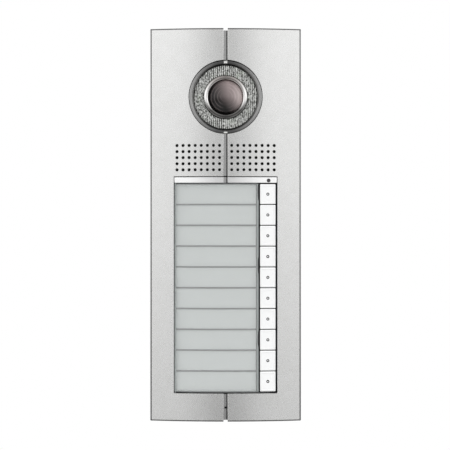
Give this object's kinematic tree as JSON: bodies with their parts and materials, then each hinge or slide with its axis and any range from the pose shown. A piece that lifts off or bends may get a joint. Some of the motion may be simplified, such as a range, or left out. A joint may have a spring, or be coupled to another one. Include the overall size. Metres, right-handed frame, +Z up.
{
  "type": "door intercom panel",
  "caption": "Wall-mounted door intercom panel with a camera dome, speaker grille, hinged name-card window and a column of call buttons on a bowed metal cover.",
  "frame": {"origin": "middle of the back face of the back box, on the wall", "axes": "+Z up, +Y into the wall, so the front face looks along -Y and +X is to the right as seen from the front"},
  "size_m": [0.15, 0.04, 0.39],
  "materials": {
    "satin_aluminium": "satin, fine bead-blasted",
    "dark_metal": "semi-gloss",
    "chrome": "polished",
    "plated_steel": "zinc plated",
    "prismatic_plastic": "prismatic",
    "smoked_plastic": "polished",
    "lens_glass": "coated",
    "clear_plastic": "clear",
    "header_plastic": "gloss",
    "white_plastic": "satin",
    "card": "matte",
    "carrier_plastic": "matte",
    "light_guide_acrylic": "frosted",
    "black_plastic": "matte",
    "box_plastic": "matte, fine texture",
    "black_rubber": "matte",
    "keypad_silicone": "matte",
    "circuit_board": "solder mask",
    "terminal_plastic": "matte",
    "speaker_paper": "matte",
    "mesh_cloth": "woven"
  },
  "bodies": {
    "housing": {"back_box": "box_plastic", "wall_gasket": "black_rubber", "cable_grommet": "black_rubber", "main_board": "circuit_board", "terminal_block": "terminal_plastic", "chassis_plate": "plated_steel", "chassis_screw_1": "plated_steel", "chassis_screw_2": "plated_steel", "chassis_screw_3": "plated_steel", "chassis_screw_4": "plated_steel", "camera_housing": "black_plastic", "led_board": "circuit_board", "diffuser_ring": "prismatic_plastic", "lens_ring": "chrome", "dome_window": "smoked_plastic", "camera_seal": "black_rubber", "speaker_magnet": "plated_steel", "speaker_frame": "plated_steel", "speaker_cone": "speaker_paper", "mic_boot": "black_rubber", "mic_capsule": "satin_aluminium", "button_tray": "black_plastic", "light_guide": "light_guide_acrylic", "card_carrier": "carrier_plastic", "name_card_01": "card", "name_card_02": "card", "name_card_03": "card", "name_card_04": "card", "name_card_05": "card", "name_card_06": "card", "name_card_07": "card", "name_card_08": "card", "name_card_09": "card", "name_card_10": "card", "keypad_board": "circuit_board", "keypad_mat": "keypad_silicone", "tamper_switch": "black_plastic"},
    "cover": {"front_cover": "satin_aluminium", "camera_bezel": "dark_metal", "header_bar": "header_plastic", "sensor_window": "smoked_plastic", "speaker_mesh": "mesh_cloth", "security_screw": "plated_steel"},
    "label_window": {"label_window": "clear_plastic"},
    "camera_pan": {"camera_pan_ring": "black_plastic"},
    "camera_tilt": {"camera_barrel": "black_plastic", "camera_lens": "lens_glass"},
    "speaker_trimmer": {"volume_trimmer_speaker": "white_plastic"},
    "mic_trimmer": {"volume_trimmer_mic": "white_plastic"},
    "tamper": {"tamper_plunger": "white_plastic"},
    "button_01": {"call_button_01": "white_plastic"},
    "button_02": {"call_button_02": "white_plastic"},
    "button_03": {"call_button_03": "white_plastic"},
    "button_04": {"call_button_04": "white_plastic"},
    "button_05": {"call_button_05": "white_plastic"},
    "button_06": {"call_button_06": "white_plastic"},
    "button_07": {"call_button_07": "white_plastic"},
    "button_08": {"call_button_08": "white_plastic"},
    "button_09": {"call_button_09": "white_plastic"},
    "button_10": {"call_button_10": "white_plastic"}
  },
  "joints": [
    {"name": "cover_swing", "type": "hinge", "parent": "housing", "child": "cover", "pos_m": [0, -0.004, 0.195], "axis": [-1, 0, 0], "range_deg": [0, 40]},
    {"name": "label_window_swing", "type": "hinge", "parent": "cover", "child": "label_window", "pos_m": [-0.0499, -0.03143, 0], "axis": [0, 0, -1], "range_deg": [0, 80]},
    {"name": "camera_pan_turn", "type": "hinge", "parent": "housing", "child": "camera_pan", "pos_m": [0, -0.0193, 0.1268], "axis": [0, 0, 1], "range_deg": [-12, 12]},
    {"name": "camera_tilt_turn", "type": "hinge", "parent": "camera_pan", "child": "camera_tilt", "pos_m": [0, -0.0193, 0.1268], "axis": [1, 0, 0], "range_deg": [-12, 12]},
    {"name": "speaker_volume_turn", "type": "hinge", "parent": "housing", "child": "speaker_trimmer", "pos_m": [0.06, -0.013, 0.02], "axis": [0, -1, 0], "range_deg": [-135, 135]},
    {"name": "mic_volume_turn", "type": "hinge", "parent": "housing", "child": "mic_trimmer", "pos_m": [0.06, -0.013, 0.005], "axis": [0, -1, 0], "range_deg": [-135, 135]},
    {"name": "tamper_press", "type": "slide", "parent": "housing", "child": "tamper", "axis": [0, 1, 0], "range_m": [0, 0.001], "stiffness_N_per_m": 120},
    {"name": "button_01_press", "type": "slide", "parent": "housing", "child": "button_01", "axis": [0, 1, 0], "range_m": [0, 0.0012], "stiffness_N_per_m": 1200, "deforming": ["keypad_mat"]},
    {"name": "button_02_press", "type": "slide", "parent": "housing", "child": "button_02", "axis": [0, 1, 0], "range_m": [0, 0.0012], "stiffness_N_per_m": 1200, "deforming": ["keypad_mat"]},
    {"name": "button_03_press", "type": "slide", "parent": "housing", "child": "button_03", "axis": [0, 1, 0], "range_m": [0, 0.0012], "stiffness_N_per_m": 1200, "deforming": ["keypad_mat"]},
    {"name": "button_04_press", "type": "slide", "parent": "housing", "child": "button_04", "axis": [0, 1, 0], "range_m": [0, 0.0012], "stiffness_N_per_m": 1200, "deforming": ["keypad_mat"]},
    {"name": "button_05_press", "type": "slide", "parent": "housing", "child": "button_05", "axis": [0, 1, 0], "range_m": [0, 0.0012], "stiffness_N_per_m": 1200, "deforming": ["keypad_mat"]},
    {"name": "button_06_press", "type": "slide", "parent": "housing", "child": "button_06", "axis": [0, 1, 0], "range_m": [0, 0.0012], "stiffness_N_per_m": 1200, "deforming": ["keypad_mat"]},
    {"name": "button_07_press", "type": "slide", "parent": "housing", "child": "button_07", "axis": [0, 1, 0], "range_m": [0, 0.0012], "stiffness_N_per_m": 1200, "deforming": ["keypad_mat"]},
    {"name": "button_08_press", "type": "slide", "parent": "housing", "child": "button_08", "axis": [0, 1, 0], "range_m": [0, 0.0012], "stiffness_N_per_m": 1200, "deforming": ["keypad_mat"]},
    {"name": "button_09_press", "type": "slide", "parent": "housing", "child": "button_09", "axis": [0, 1, 0], "range_m": [0, 0.0012], "stiffness_N_per_m": 1200, "deforming": ["keypad_mat"]},
    {"name": "button_10_press", "type": "slide", "parent": "housing", "child": "button_10", "axis": [0, 1, 0], "range_m": [0, 0.0012], "stiffness_N_per_m": 1200, "deforming": ["keypad_mat"]}
  ]
}
